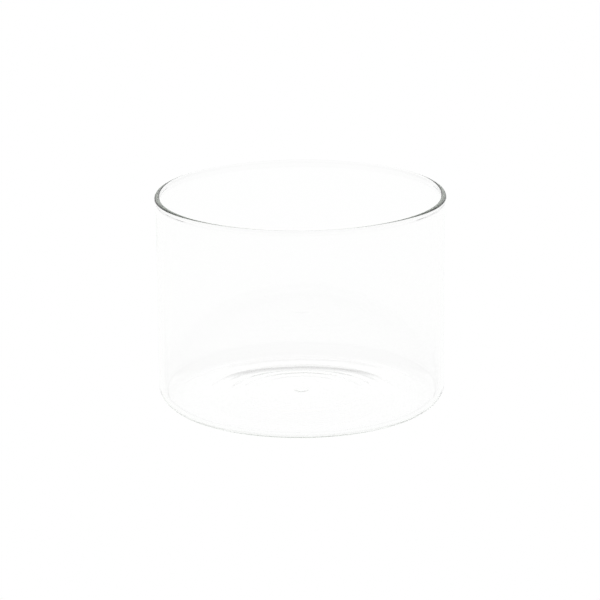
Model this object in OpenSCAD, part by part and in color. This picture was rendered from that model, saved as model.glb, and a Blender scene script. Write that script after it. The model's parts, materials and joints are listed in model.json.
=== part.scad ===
// Crystallizing dish: a clear, straight-sided glass dish with a flame-rounded rim, a rounded heel and a
// floor that is pushed up a little in the middle, so that the dish stands on a ring.
// Every zone is a turned ring or disc about +Z. The origin is on the bench, under the middle of the dish.

/* [Overall] */
// Diameter over the rim bead
rim_d = 69; // [60:1:90]
// Height from the bench to the top of the rim
dish_h = 50.5; // [40:0.5:65]

/* [Wall] */
// Thickness of the side wall
wall_t = 1.05; // [0.9:0.05:1.2]

/* [Rim] */
// Thickness of the flame-rounded bead, measured across the radius
bead_t = 1.35; // [1.3:0.05:1.8]
// Height of the part of the rim that was softened in the flame
rim_zone_h = 2; // [1.8:0.1:4]

/* [Heel] */
// Radius of the outer corner between wall and foot
heel_r = 4.2; // [3:0.1:5]
// Radius of the inner corner between wall and floor
corner_r = 3.1; // [2:0.1:4.5]

/* [Floor] */
// Thickness of the floor
floor_t = 1.1; // [1:0.1:1.8]
// Radius at which the underside leaves the bench
kick_start_r = 24; // [20:0.5:26]
// Radius at which the hollow edge turns into the dome
kick_turn_r = 23; // [17:0.5:23]
// Radius of the level middle of the dome
kick_flat_r = 4; // [4:0.5:10]
// How far the middle of the floor is pushed up
kick_h = 1.25; // [0.75:0.05:1.75]

/* [Centre pip] */
// Radius of the small closing pip under the middle of the floor
pip_r = 2.1; // [1:0.1:3]
// How far the pip hangs down below the dome
pip_h = 0.4; // [0.3:0.1:0.6]

/* [Hidden] */
$fn = 256;
rim_r = rim_d / 2;
bead_r = bead_t / 2;
bead_z = dish_h - bead_r;
rim_zone_z = dish_h - rim_zone_h;
wall_in_r = rim_r - bead_t;
wall_out_r = wall_in_r + wall_t;
// The heel zone takes in both round corners and a short stretch of the flat foot beside them
heel_top_z = max(heel_r, floor_t + corner_r) + 1;
foot_out_r = wall_out_r - heel_r - 1;
// The kick-up is a wide dome and a tight hollow edge: two arcs that meet smoothly at kick_turn_r
kick_run = kick_start_r - kick_flat_r;
kick_arcs_r = (kick_run * kick_run / kick_h + kick_h) / 2;
dome_r = kick_arcs_r * (kick_turn_r - kick_flat_r) / kick_run;
hollow_r = kick_arcs_r - dome_r;
// The pip is the cap of a ball
pip_ball_r = (pip_r * pip_r + pip_h * pip_h) / (2 * pip_h);
// How far the cutting shapes run past the glass, more than any part of it is thick
spare = 4;
glass = [0.84, 0.89, 0.92, 0.45];

// A rectangle in the turning plane, from radius r0 to r1 and from height z0 to z1
module band(r0, r1, z0, z1) {
    translate([r0, z0]) square([r1 - r0, z1 - z0]);
}

// The inside of a round-cornered cup: radius out_r, level floor at floor_z, corner radius round_r
module cup(out_r, floor_z, round_r) {
    corner_z = floor_z + round_r;
    corner_x = out_r - round_r;
    band(0, corner_x, floor_z, corner_z);
    band(0, out_r, corner_z, heel_top_z + spare);
    intersection() {
        translate([corner_x, corner_z]) circle(round_r);
        band(corner_x, out_r + spare, floor_z - spare, corner_z);
    }
}

// Everything under the kicked-up underside, out to the foot ring, lifted by lift
module under_kick(lift) {
    band(0, kick_flat_r, -spare, lift + kick_h);
    intersection() {
        translate([kick_flat_r, lift + kick_h - dome_r]) circle(dome_r);
        band(kick_flat_r, kick_turn_r, -spare, kick_h + spare);
    }
    difference() {
        band(kick_turn_r, kick_start_r, -spare, kick_h + spare);
        translate([kick_start_r, lift + hollow_r]) circle(hollow_r);
    }
}

// The top of the wall, thickened outwards and rounded all over by the flame
module rim_bead() {
    color(glass) rotate_extrude() {
        band(wall_in_r, wall_out_r, rim_zone_z, bead_z);
        translate([wall_in_r + bead_r, bead_z]) circle(bead_r);
    }
}

// The straight tube of the wall, between the heel and the rim
module side_wall() {
    color(glass) rotate_extrude() band(wall_in_r, wall_out_r, heel_top_z, rim_zone_z);
}

// The turned corner that joins the wall to the foot, rounded inside and out
module heel() {
    color(glass) rotate_extrude() intersection() {
        difference() {
            cup(wall_out_r, 0, heel_r);
            cup(wall_in_r, floor_t, corner_r);
        }
        band(foot_out_r, rim_r + spare, -spare, heel_top_z);
    }
}

// The flat ring that the dish stands on
module foot_ring() {
    color(glass) rotate_extrude() band(kick_start_r, foot_out_r, 0, floor_t);
}

// The middle of the floor, pushed up clear of the bench
module raised_floor() {
    color(glass) rotate_extrude() difference() {
        under_kick(floor_t);
        under_kick(0);
    }
}

// The low round pip where the molten floor was closed
module centre_pip() {
    color(glass) rotate_extrude() intersection() {
        translate([0, kick_h - pip_h + pip_ball_r]) circle(pip_ball_r);
        band(0, pip_r, kick_h - pip_h, kick_h);
    }
}

rim_bead();
side_wall();
heel();
foot_ring();
raised_floor();
centre_pip();
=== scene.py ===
# %% [markdown]
# # A crystallizing dish in clear borosilicate glass
#
# The dish is one piece of thin glass: a straight wall with a flame-rounded rim, a rounded heel, and a floor
# that is pushed up in the middle, where a small round pip shows how the molten glass was closed. It has no
# spout and no mark. What makes such a thing look real is its outline and the way light bends in it, so this
# lesson spends its effort on the turned shape, on the small unevenness of hand-worked glass, and on what
# the glass has around it to show.

# %% Load the frame
import json
import math

import bpy
from mathutils import Matrix, Vector


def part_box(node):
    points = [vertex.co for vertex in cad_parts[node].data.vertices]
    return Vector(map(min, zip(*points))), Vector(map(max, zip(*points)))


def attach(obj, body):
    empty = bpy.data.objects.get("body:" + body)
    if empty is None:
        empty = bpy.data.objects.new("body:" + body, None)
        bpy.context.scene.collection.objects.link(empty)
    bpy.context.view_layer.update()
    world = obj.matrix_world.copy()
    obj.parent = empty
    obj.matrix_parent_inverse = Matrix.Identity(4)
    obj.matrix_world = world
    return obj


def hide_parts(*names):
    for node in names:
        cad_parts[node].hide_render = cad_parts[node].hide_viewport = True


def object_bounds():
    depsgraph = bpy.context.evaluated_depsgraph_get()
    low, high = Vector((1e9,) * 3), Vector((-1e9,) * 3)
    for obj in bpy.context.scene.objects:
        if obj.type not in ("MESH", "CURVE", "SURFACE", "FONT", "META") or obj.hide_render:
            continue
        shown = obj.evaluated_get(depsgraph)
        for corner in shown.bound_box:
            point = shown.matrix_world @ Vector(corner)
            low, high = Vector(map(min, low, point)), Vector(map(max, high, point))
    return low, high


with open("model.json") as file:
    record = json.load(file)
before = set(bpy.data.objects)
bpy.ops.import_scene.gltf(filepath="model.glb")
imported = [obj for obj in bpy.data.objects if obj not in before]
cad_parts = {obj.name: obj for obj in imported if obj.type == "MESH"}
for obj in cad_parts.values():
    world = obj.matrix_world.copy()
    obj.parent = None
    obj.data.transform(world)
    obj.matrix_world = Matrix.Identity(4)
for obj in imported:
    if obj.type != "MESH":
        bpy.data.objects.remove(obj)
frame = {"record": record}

MM = 0.001
WELD_DISTANCE = 0.001 * MM
cad_low, cad_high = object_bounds()
dish_height = cad_high.z
print("CAD box in mm:", [round(side / MM, 2) for side in cad_high - cad_low])

# %% [markdown]
# ## The camera and its view
#
# The camera comes first, because every choice of shape and light is judged through it. It stands
# nearly twelve dish widths away with a long lens and looks down at about sixteen degrees, so the mouth shows
# as a flat ellipse and the floor shows through the front wall. It leans by less than half a degree.

# %% Place the camera
CAMERA_DISTANCE = 800 * MM
CAMERA_PITCH = math.radians(16.19)
CAMERA_ROLL = math.radians(-0.43)
CAMERA_LENS = 201.4
AIM = Vector((-0.25, 0.0, 24.36)) * MM


def make_camera():
    """A long-lens camera in front of the dish, which is towards -Y."""
    camera = bpy.data.objects.new("camera", bpy.data.cameras.new("camera"))
    camera.data.lens = CAMERA_LENS
    camera.data.sensor_width = 36.0
    camera.data.clip_start = 10 * MM
    back = Vector((0, -math.cos(CAMERA_PITCH), math.sin(CAMERA_PITCH)))
    camera.location = AIM + back * CAMERA_DISTANCE
    look = (-back).to_track_quat("-Z", "Y").to_matrix()
    camera.rotation_euler = (look @ Matrix.Rotation(CAMERA_ROLL, 3, "Z")).to_euler()
    bpy.context.scene.collection.objects.link(camera)
    bpy.context.scene.camera = camera
    return camera


camera = make_camera()
print("camera at", [round(c, 3) for c in camera.location], "lens", CAMERA_LENS)

# %% [markdown]
# ## The sizes that shape the outline
#
# The dish is a turned shape, so one outline says everything about it. The outer sizes come from the
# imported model: each zone of the glass is a node there, and its box gives a radius or a height. The inner
# wall's radius is stated as a mount, because other things are made to fit it.

# %% Read the sizes of the glass
def top_and_radius(node):
    """Height of a node's top and its outer radius."""
    low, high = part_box(node)
    return high.z, high.x


def mount_radius(name):
    """Radius of a round mount, in metres."""
    found = [m for m in frame["record"]["mounts"] if m["name"] == name]
    return found[0]["dims"]["r_mm"] * MM


rim_top, rim_radius = top_and_radius("rim_bead")
wall_outer = top_and_radius("heel")[1]
floor_thick = top_and_radius("foot_ring")[0]
raised_top, kick_start = top_and_radius("raised_floor")
pip_radius = top_and_radius("centre_pip")[1]
wall_inner = mount_radius("mouth")
bead_half = (rim_radius - wall_inner) / 2
kick_height = raised_top - floor_thick
HEEL_RADIUS = 4.2 * MM
CORNER_RADIUS = 3.1 * MM
FLARE_RADIUS = 3.2 * MM
KICK_TURN = 23.0 * MM
KICK_FLAT = 4.0 * MM
print("wall", round((wall_outer - wall_inner) / MM, 2), "mm thick, kick-up", round(kick_height / MM, 2), "mm")

# %% [markdown]
# ## The outline, made of lines and arcs
#
# A glassworker's gauge would be a card cut to this outline: it runs from the middle of the floor out
# along its upper face, up the inner wall, over the bead and back under the foot to the middle again.
# Each round stretch is an arc with a known centre, so the outline can be changed by changing one size,
# and its points lie closer together where the glass turns.

# %% Build the outline
RIPPLE = 0.022 * MM
RIPPLE_START = 8.0 * MM
RIPPLE_LENGTH = 3.2 * MM
PIP_DROP = 0.12 * MM
PIP_LEVEL = 0.45


def arc(centre_r, centre_z, radius, start, end, steps):
    """Points along an arc in the turning plane, from one angle to another in degrees."""
    angles = [math.radians(start + (end - start) * i / steps) for i in range(steps + 1)]
    return [(centre_r + radius * math.cos(a), centre_z + radius * math.sin(a)) for a in angles]


def line(start, end, steps):
    """Evenly spaced points along a straight stretch."""
    return [
        tuple(a + (b - a) * i / steps for a, b in zip(start, end))
        for i in range(steps + 1)
    ]


def kick_up(lift, ripple=0.0):
    """The floor from its level middle out to the foot, raised by lift: a wide dome and a tight hollow."""
    run = kick_start - KICK_FLAT
    both = (run * run / kick_height + kick_height) / 2
    crown_radius = both * (KICK_TURN - KICK_FLAT) / run
    hollow_radius = both - crown_radius
    sweep = math.degrees(math.asin(run / both))
    crown = arc(KICK_FLAT, lift + kick_height - crown_radius, crown_radius, 90, 90 - sweep, 60)
    hollow = arc(kick_start, lift + hollow_radius, hollow_radius, 270 - sweep, 270, 8)
    return [(r, z + ripple * ripple_wave(r)) for r, z in crown] + hollow


def ripple_wave(r):
    """Rings left by the turning of the soft floor: a wave along the radius that fades at both ends."""
    share = min(max((r - RIPPLE_START) / (KICK_TURN - RIPPLE_START), 0.0), 1.0)
    return math.sin(math.pi * share) ** 2 * math.cos(2 * math.pi * (KICK_TURN - r) / RIPPLE_LENGTH)


def pip(steps):
    """The pip under the floor, from the axis outwards: level in the middle, with a soft round edge."""
    radii = [pip_radius * i / steps for i in range(steps + 1)]
    shares = [max(r / pip_radius - PIP_LEVEL, 0.0) / (1 - PIP_LEVEL) for r in radii]
    return [(r, kick_height - PIP_DROP * (1 + math.cos(math.pi * t)) / 2) for r, t in zip(radii, shares)]


def rim():
    """The bead from the inner wall over the top, and the soft flare that joins it to the outer wall."""
    bead_r = wall_inner + bead_half
    bead_z = rim_top - bead_half
    flare_r = wall_outer + FLARE_RADIUS
    drop = math.sqrt((bead_half + FLARE_RADIUS) ** 2 - (flare_r - bead_r) ** 2)
    meet = math.degrees(math.atan2(drop, flare_r - bead_r))
    bead = arc(bead_r, bead_z, bead_half, 180, -meet, 28)
    flare = arc(flare_r, bead_z - drop, FLARE_RADIUS, 180 - meet, 180, 8)
    return bead + flare


def outline():
    """The whole closed outline, from the axis round to the axis."""
    corner_r, corner_z = wall_inner - CORNER_RADIUS, floor_thick + CORNER_RADIUS
    points = line((0.0, raised_top), (KICK_FLAT, raised_top), 6)
    points += kick_up(floor_thick)
    points += line((kick_start, floor_thick), (corner_r, floor_thick), 3)
    points += arc(corner_r, corner_z, CORNER_RADIUS, 270, 360, 16)
    points += line((wall_inner, corner_z), (wall_inner, rim_top - bead_half), 24)
    points += rim()
    points += line(points[-1], (wall_outer, HEEL_RADIUS), 24)
    points += arc(wall_outer - HEEL_RADIUS, HEEL_RADIUS, HEEL_RADIUS, 360, 270, 16)
    points += line((wall_outer - HEEL_RADIUS, 0.0), (kick_start, 0.0), 4)
    points += kick_up(0.0, RIPPLE)[::-1]
    points += line((KICK_FLAT, kick_height), (pip_radius, kick_height), 6)
    points += pip(12)[::-1]
    return points


def without_repeats(points):
    """Drops a point that lies on the one before it, where two stretches meet."""
    kept = points[:1]
    for point in points[1:]:
        if math.dist(point, kept[-1]) > 1e-7:
            kept.append(point)
    return kept


dish_outline = without_repeats(outline())
print("outline of", len(dish_outline), "points")

# %% [markdown]
# ## A lathe made of Geometry Nodes
#
# Blender's Screw modifier could turn the outline, but a node tree says the rule in the open and lets the
# same tree add the unevenness of blown glass. The tree lays out a grid with one row for each point of
# the outline and one column for each step round the axis, sends every grid point to its place, and merges
# the seam and the two poles. Then a slow noise moves the surface by some hundredths of a millimetre.

# %% Helpers for node trees
def link_all(tree, pairs):
    """Joins output and input sockets two by two."""
    for source, target in pairs:
        tree.links.new(source, target)


def math_node(tree, operation, *values):
    """A Math node whose inputs are sockets or plain numbers; returns its output."""
    node = tree.nodes.new("ShaderNodeMath")
    node.operation = operation
    for socket, value in zip(node.inputs, values):
        if isinstance(value, (int, float)):
            socket.default_value = value
        else:
            tree.links.new(value, socket)
    return node.outputs[0]


def add_input(tree, name, kind, default=None):
    """A named input of a node tree."""
    socket = tree.interface.new_socket(name, in_out="INPUT", socket_type=kind)
    if default is not None:
        socket.default_value = default
    return socket


# %% The lathe tree
def make_lathe():
    """Turns the outline it is given, as loose points in order, about the Z axis."""
    tree = bpy.data.node_groups.new("glass_lathe", "GeometryNodeTree")
    add_input(tree, "Outline", "NodeSocketGeometry")
    add_input(tree, "Steps Round", "NodeSocketInt", 256)
    add_input(tree, "Unevenness", "NodeSocketFloat", 0.0)
    add_input(tree, "Unevenness Scale", "NodeSocketFloat", 60.0)
    add_input(tree, "Material", "NodeSocketMaterial")
    tree.interface.new_socket("Turned", in_out="OUTPUT", socket_type="NodeSocketGeometry")
    given = tree.nodes.new("NodeGroupInput").outputs
    count = tree.nodes.new("GeometryNodeAttributeDomainSize")
    grid = tree.nodes.new("GeometryNodeMeshGrid")
    grid.inputs["Size X"].default_value = 1.0
    grid.inputs["Size Y"].default_value = 1.0
    columns = math_node(tree, "ADD", given["Steps Round"], 1)
    index = tree.nodes.new("GeometryNodeInputIndex").outputs[0]
    row = math_node(tree, "FLOOR", math_node(tree, "DIVIDE", index, columns))
    column = math_node(tree, "SUBTRACT", index, math_node(tree, "MULTIPLY", row, columns))
    turn = math_node(tree, "MULTIPLY", column, math_node(tree, "DIVIDE", 2 * math.pi, given["Steps Round"]))
    position = tree.nodes.new("GeometryNodeInputPosition").outputs[0]
    pick = tree.nodes.new("GeometryNodeSampleIndex")
    pick.data_type = "FLOAT_VECTOR"
    rotate = tree.nodes.new("ShaderNodeVectorRotate")
    rotate.rotation_type = "Z_AXIS"
    place = tree.nodes.new("GeometryNodeSetPosition")
    weld = tree.nodes.new("GeometryNodeMergeByDistance")
    weld.inputs["Distance"].default_value = WELD_DISTANCE
    link_all(tree, [
        (given["Outline"], count.inputs["Geometry"]),
        (count.outputs["Point Count"], grid.inputs["Vertices X"]),
        (columns, grid.inputs["Vertices Y"]),
        (given["Outline"], pick.inputs["Geometry"]),
        (position, pick.inputs["Value"]),
        (row, pick.inputs["Index"]),
        (pick.outputs["Value"], rotate.inputs["Vector"]),
        (turn, rotate.inputs["Angle"]),
        (grid.outputs["Mesh"], place.inputs["Geometry"]),
        (rotate.outputs["Vector"], place.inputs["Position"]),
        (place.outputs["Geometry"], weld.inputs["Geometry"]),
    ])
    uneven = add_unevenness(tree, given, weld.outputs["Geometry"])
    smooth = tree.nodes.new("GeometryNodeSetShadeSmooth")
    realize = tree.nodes.new("GeometryNodeRealizeInstances")
    dress = tree.nodes.new("GeometryNodeSetMaterial")
    result = tree.nodes.new("NodeGroupOutput")
    link_all(tree, [
        (uneven, smooth.inputs["Geometry"]),
        (smooth.outputs["Geometry"], realize.inputs["Geometry"]),
        (realize.outputs["Geometry"], dress.inputs["Geometry"]),
        (given["Material"], dress.inputs["Material"]),
        (dress.outputs["Geometry"], result.inputs["Turned"]),
    ])
    return tree


def add_unevenness(tree, given, turned):
    """Moves the turned surface along its normal by a slow noise."""
    noise = tree.nodes.new("ShaderNodeTexNoise")
    noise.inputs["Detail"].default_value = 1.0
    spread = math_node(tree, "MULTIPLY", math_node(tree, "SUBTRACT", noise.outputs["Fac"], 0.5), 2)
    amount = math_node(tree, "MULTIPLY", spread, given["Unevenness"])
    normal = tree.nodes.new("GeometryNodeInputNormal").outputs[0]
    along = tree.nodes.new("ShaderNodeVectorMath")
    along.operation = "SCALE"
    shift = tree.nodes.new("GeometryNodeSetPosition")
    link_all(tree, [
        (given["Unevenness Scale"], noise.inputs["Scale"]),
        (normal, along.inputs[0]),
        (amount, along.inputs["Scale"]),
        (turned, shift.inputs["Geometry"]),
        (along.outputs[0], shift.inputs["Offset"]),
    ])
    return shift.outputs["Geometry"]


lathe = make_lathe()
print("lathe tree with", len(lathe.nodes), "nodes")

# %% [markdown]
# ## The glass itself
#
# Borosilicate is almost colourless. Across one thin wall nothing shows, but along the rim and the heel the
# eye looks through centimetres of it, and there it turns faintly grey-green. A volume that takes away a
# little light by the centimetre gives that for free, where a tinted surface would stain the whole dish.

# %% The glass material
GLASS_IOR = 1.473
GLASS_TINT = (0.83, 0.87, 0.82, 1.0)
TINT_DENSITY = 18.0


def make_glass():
    """Clear glass: plain transmission on the surface and a weak absorption inside."""
    material = bpy.data.materials.new("clear_borosilicate")
    material.use_nodes = True
    nodes = material.node_tree.nodes
    shader = nodes["Principled BSDF"]
    shader.inputs["Base Color"].default_value = (1.0, 1.0, 1.0, 1.0)
    shader.inputs["Metallic"].default_value = 0.0
    shader.inputs["Roughness"].default_value = 0.0
    shader.inputs["IOR"].default_value = GLASS_IOR
    shader.inputs["Transmission Weight"].default_value = 1.0
    absorb = nodes.new("ShaderNodeVolumeAbsorption")
    absorb.inputs["Color"].default_value = GLASS_TINT
    absorb.inputs["Density"].default_value = TINT_DENSITY
    output = nodes["Material Output"]
    material.node_tree.links.new(absorb.outputs["Volume"], output.inputs["Volume"])
    return material


glass = make_glass()

# %% [markdown]
# ## Turning the dish
#
# The outline goes in as a row of loose points, the tree turns it, and the result is kept as a plain mesh.

# %% Turn the outline into the dish
STEPS_ROUND = 288
UNEVENNESS = 0.012 * MM
UNEVENNESS_SCALE = 90.0


def outline_object(points):
    """The outline as a mesh of bare points in the plane y = 0."""
    mesh = bpy.data.meshes.new("dish_outline")
    mesh.from_pydata([(r, 0.0, z) for r, z in points], [], [])
    thing = bpy.data.objects.new("dish_outline", mesh)
    bpy.context.scene.collection.objects.link(thing)
    return thing


def run_tree(thing, tree, values):
    """Runs a tree on an object with the named values and returns its result as a plain mesh."""
    modifier = thing.modifiers.new("tree", "NODES")
    modifier.node_group = tree
    sockets = {s.name: s.identifier for s in tree.interface.items_tree if s.in_out == "INPUT"}
    for name, value in values.items():
        modifier[sockets[name]] = value
    graph = bpy.context.evaluated_depsgraph_get()
    graph.update()
    return bpy.data.meshes.new_from_object(thing.evaluated_get(graph), depsgraph=graph)


def make_dish():
    """The finished dish as one object at the origin."""
    source = outline_object(dish_outline)
    mesh = run_tree(source, lathe, {
        "Steps Round": STEPS_ROUND,
        "Unevenness": UNEVENNESS,
        "Unevenness Scale": UNEVENNESS_SCALE,
        "Material": glass,
    })
    bpy.data.objects.remove(source)
    mesh.name = "dish_glass"
    dish = bpy.data.objects.new("dish_glass", mesh)
    bpy.context.scene.collection.objects.link(dish)
    return dish


dish = make_dish()
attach(dish, "root")
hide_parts("rim_bead", "side_wall", "heel", "foot_ring", "raised_floor", "centre_pip")
print("dish of", len(dish.data.vertices), "points and", len(dish.data.polygons), "faces")

# %% [markdown]
# ## The table and the light
#
# Clear glass shows only what is around it. The table is one even white, the same from every side and the same
# through the glass as beside it. The light is a broad soft one behind the dish, in a room that is dimmer all
# round and dimmest low down. The rim and the floor bend some of that dimness into view as thin grey lines. The
# wall bends mostly white table into view, so it stays nearly invisible, as clear glass on white does.

# %% Helpers for graded light
def smooth_step(tree, value, low, high, first=0.0, last=1.0):
    """A Map Range that eases from first to last while the value goes from low to high."""
    node = tree.nodes.new("ShaderNodeMapRange")
    node.interpolation_type = "SMOOTHSTEP"
    for name, number in (("From Min", low), ("From Max", high), ("To Min", first), ("To Max", last)):
        node.inputs[name].default_value = number
    tree.links.new(value, node.inputs["Value"])
    return node.outputs["Result"]


def graded(tree, value, stops):
    """A Color Ramp of greys: each stop is a place from 0 to 1 and a brightness."""
    ramp = tree.nodes.new("ShaderNodeValToRGB").color_ramp
    while len(ramp.elements) < len(stops):
        ramp.elements.new(0.5)
    for element, (place, grey) in zip(ramp.elements, stops):
        element.position = place
        element.color = (grey, grey, grey, 1.0)
    node = tree.nodes[-1]
    tree.links.new(value, node.inputs["Fac"])
    return node.outputs["Color"]


def mixed(tree, factor, first, second):
    """A colour mix; each side is a socket or a plain colour."""
    node = tree.nodes.new("ShaderNodeMix")
    node.data_type = "RGBA"
    tree.links.new(factor, node.inputs["Factor"])
    for socket, value in zip((node.inputs[6], node.inputs[7]), (first, second)):
        if isinstance(value, tuple):
            socket.default_value = value
        else:
            tree.links.new(value, socket)
    return node.outputs[2]


def across(tree, vector):
    """The x and y of a vector, its z, and its length on the level."""
    split = tree.nodes.new("ShaderNodeSeparateXYZ")
    tree.links.new(vector, split.inputs[0])
    x, y, z = split.outputs
    square = math_node(tree, "ADD", math_node(tree, "MULTIPLY", x, x), math_node(tree, "MULTIPLY", y, y))
    return x, y, z, math_node(tree, "SQRT", square)


WHITE = (1.0, 1.0, 1.0, 1.0)

# %% The table
TABLE_HALF = 2.0
TABLE_DROP = 0.02 * MM


def make_table():
    """A plain white table just under the dish's foot."""
    mesh = bpy.data.meshes.new("table")
    corners = [(-TABLE_HALF, -TABLE_HALF), (TABLE_HALF, -TABLE_HALF),
               (TABLE_HALF, TABLE_HALF), (-TABLE_HALF, TABLE_HALF)]
    mesh.from_pydata([(x, y, -TABLE_DROP) for x, y in corners], [], [(0, 1, 2, 3)])
    table = bpy.data.objects.new("table", mesh)
    material = bpy.data.materials.new("table_white")
    material.use_nodes = True
    tree = material.node_tree
    tree.nodes.remove(tree.nodes["Principled BSDF"])
    glow = tree.nodes.new("ShaderNodeEmission")
    glow.inputs["Color"].default_value = WHITE
    tree.links.new(glow.outputs[0], tree.nodes["Material Output"].inputs["Surface"])
    mesh.materials.append(material)
    bpy.context.scene.collection.objects.link(table)
    return table


table = make_table()

# %% The light around
AROUND = ((0.0, 0.40), (0.30, 0.60), (1.0, 0.60))
BACKDROP = ((0.0, 0.35), (0.06, 0.35), (0.15, 1.10), (0.55, 1.0), (1.0, 0.60))
BACKDROP_EDGE = (0.62, 0.80)
LIGHT_BOUNCES = 96


def make_world():
    """A broad soft light behind the dish in a dimmer room, darkest low down."""
    world = bpy.data.worlds.new("studio")
    world.use_nodes = True
    tree = world.node_tree
    direction = tree.nodes.new("ShaderNodeTexCoord").outputs["Generated"]
    x, y, z, level = across(tree, direction)
    behind = math_node(tree, "DIVIDE", y, math_node(tree, "MAXIMUM", level, 0.001))
    backdrop = smooth_step(tree, behind, *BACKDROP_EDGE)
    light = mixed(tree, backdrop, graded(tree, z, AROUND), graded(tree, z, BACKDROP))
    tree.links.new(light, tree.nodes["Background"].inputs["Color"])
    tree.nodes["Background"].inputs["Strength"].default_value = 1.0
    return world


world = make_world()
scene = bpy.context.scene
scene.world = world
scene.view_settings.view_transform = "Standard"
scene.view_settings.look = "None"
# A thin wall passes light on through dozens of reflections: with few bounces its rim turns black from above
scene.cycles.max_bounces = LIGHT_BOUNCES
scene.cycles.transmission_bounces = LIGHT_BOUNCES
scene.cycles.glossy_bounces = LIGHT_BOUNCES
scene.cycles.transparent_max_bounces = 24
